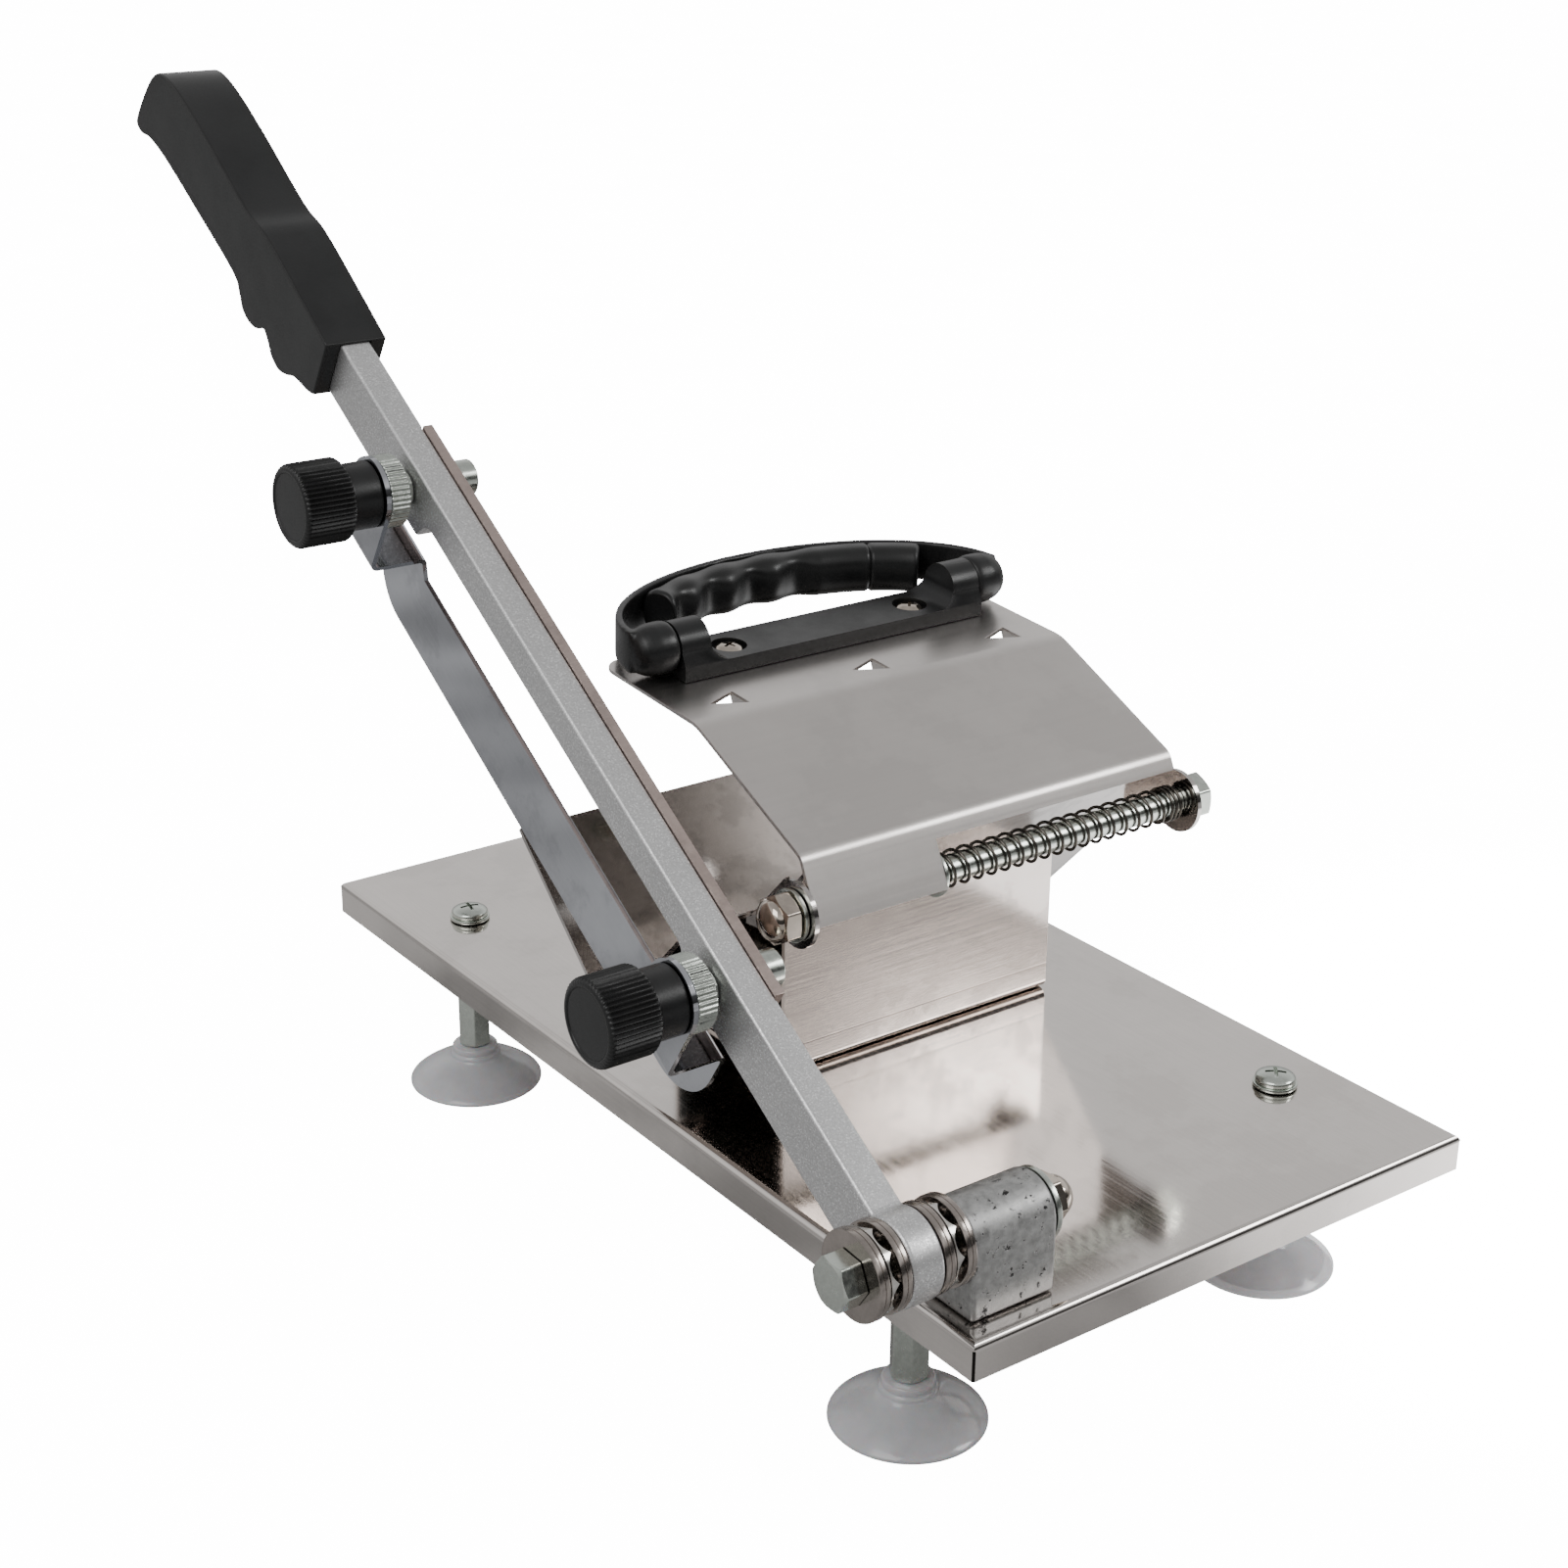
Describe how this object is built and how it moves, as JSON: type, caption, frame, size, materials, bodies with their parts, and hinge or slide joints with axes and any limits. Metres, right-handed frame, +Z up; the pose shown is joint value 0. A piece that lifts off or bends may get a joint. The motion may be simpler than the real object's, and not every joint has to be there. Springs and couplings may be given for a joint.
{
  "type": "frozen meat slicer",
  "caption": "Hand-lever slicer: a blade on a hinged arm shears slices off a roll held in a V trough by a sprung press plate, on a raised base with suction feet.",
  "frame": {"origin": "middle of the footprint of the whole slicer at rest, on the plane that the suction cups stand on", "axes": "+Z up, +Y along the base from the pivot to the grip, +X across the base away from the lever"},
  "size_m": [0.2328, 0.4138, 0.3262],
  "materials": {
    "satin_steel": "satin stainless sheet",
    "bright_steel": "bright rolled stainless sheet",
    "brushed_steel": "lengthwise brushed stainless sheet",
    "blade_steel": "ground tool steel",
    "race_steel": "turned bearing steel",
    "spring_steel": "oiled spring wire",
    "zinc": "pale zinc plate on steel",
    "chrome": "bright nickel",
    "cast_aluminium": "silver painted casting",
    "cast_block": "grey casting with fine pits",
    "black_plastic": "black moulded plastic",
    "soft_pvc": "frosted translucent soft PVC"
  },
  "bodies": {
    "stand": {"base_plate": "satin_steel", "foot_screw_1": "zinc", "foot_screw_2": "zinc", "foot_screw_3": "zinc", "foot_screw_4": "zinc", "foot_pillar_1": "zinc", "foot_pillar_2": "zinc", "foot_pillar_3": "zinc", "foot_pillar_4": "zinc", "suction_cup_1": "soft_pvc", "suction_cup_2": "soft_pvc", "suction_cup_3": "soft_pvc", "suction_cup_4": "soft_pvc", "pivot_block": "cast_block", "block_screw_1": "zinc", "block_screw_2": "zinc", "pivot_bolt": "zinc", "pivot_washer": "zinc", "pivot_cap_nut": "chrome", "bearing_1_race_left": "race_steel", "bearing_2_race_right": "race_steel", "trough": "bright_steel", "trough_bracket": "satin_steel", "bracket_screw_1": "zinc", "bracket_screw_2": "zinc", "bracket_nut_1": "zinc", "bracket_nut_2": "zinc", "guide_rod": "zinc", "rod_washer_left": "zinc", "rod_washer_right": "zinc", "rod_cap_nut": "chrome", "press_spring": "spring_steel"},
    "lever": {"lever_arm": "cast_aluminium", "lever_grip": "black_plastic", "blade": "blade_steel", "blade_stud_1": "zinc", "blade_stud_2": "zinc", "stud_nut_1": "zinc", "stud_nut_2": "zinc", "bearing_1_race_right": "race_steel", "bearing_2_race_left": "race_steel"},
    "cage_1": {"bearing_1_cage": "zinc"},
    "cage_2": {"bearing_2_cage": "zinc"},
    "gauge": {"gauge_plate": "bright_steel"},
    "nut_1": {"knurled_nut_1": "zinc"},
    "nut_2": {"knurled_nut_2": "zinc"},
    "knob_1": {"gauge_knob_1": "black_plastic"},
    "knob_2": {"gauge_knob_2": "black_plastic"},
    "carriage": {"spring_washer": "zinc"},
    "press": {"press_sleeve": "zinc", "press_plate": "brushed_steel", "handle_base": "black_plastic", "handle_pin_1": "zinc", "handle_pin_2": "zinc", "handle_screw_1": "chrome", "handle_screw_2": "chrome", "handle_nut_1": "zinc", "handle_nut_2": "zinc"},
    "bail": {"handle_bail": "black_plastic", "handle_grip": "black_plastic"}
  },
  "joints": [
    {"name": "lever_swing", "type": "hinge", "parent": "stand", "child": "lever", "pos_m": [-0.07425, -0.18973, 0.0799], "axis": [1, 0, 0], "range_deg": [-32, 50]},
    {"name": "cage_1_roll", "type": "hinge", "parent": "stand", "child": "cage_1", "pos_m": [-0.0844, -0.18973, 0.0799], "axis": [1, 0, 0], "range_deg": [-16, 25]},
    {"name": "cage_2_roll", "type": "hinge", "parent": "stand", "child": "cage_2", "pos_m": [-0.0641, -0.18973, 0.0799], "axis": [1, 0, 0], "range_deg": [-16, 25]},
    {"name": "gauge_slide", "type": "slide", "parent": "lever", "child": "gauge", "axis": [1, 0, 0], "range_m": [-0.006, 0.001]},
    {"name": "nut_1_turn", "type": "hinge", "parent": "gauge", "child": "nut_1", "pos_m": [-0.08615, -0.11439, 0.12449], "axis": [1, 0, 0], "range_deg": [-180, 180]},
    {"name": "nut_2_turn", "type": "hinge", "parent": "gauge", "child": "nut_2", "pos_m": [-0.08615, 0.04046, 0.22295], "axis": [1, 0, 0], "range_deg": [-180, 180]},
    {"name": "knob_1_turn", "type": "hinge", "parent": "gauge", "child": "knob_1", "pos_m": [-0.10395, -0.11439, 0.12449], "axis": [1, 0, 0], "range_deg": [-180, 180]},
    {"name": "knob_2_turn", "type": "hinge", "parent": "gauge", "child": "knob_2", "pos_m": [-0.10395, 0.04046, 0.22295], "axis": [1, 0, 0], "range_deg": [-180, 180]},
    {"name": "press_slide", "type": "slide", "parent": "stand", "child": "carriage", "axis": [1, 0, 0], "range_m": [0, 0.05], "stiffness_N_per_m": 1063, "springref_m": -0.01, "deforming": ["press_spring"]},
    {"name": "press_lift", "type": "hinge", "parent": "carriage", "child": "press", "pos_m": [-0.01925, -0.10343, 0.1316], "axis": [1, 0, 0], "range_deg": [-20, 100]},
    {"name": "handle_flip", "type": "hinge", "parent": "press", "child": "bail", "pos_m": [0.02675, -0.02048, 0.18173], "axis": [1, 0, 0], "range_deg": [0, 170]}
  ],
  "couplings": [
    {"joint": "cage_1_roll", "follows": "lever_swing", "ratio": 0.5},
    {"joint": "cage_2_roll", "follows": "lever_swing", "ratio": 0.5}
  ]
}
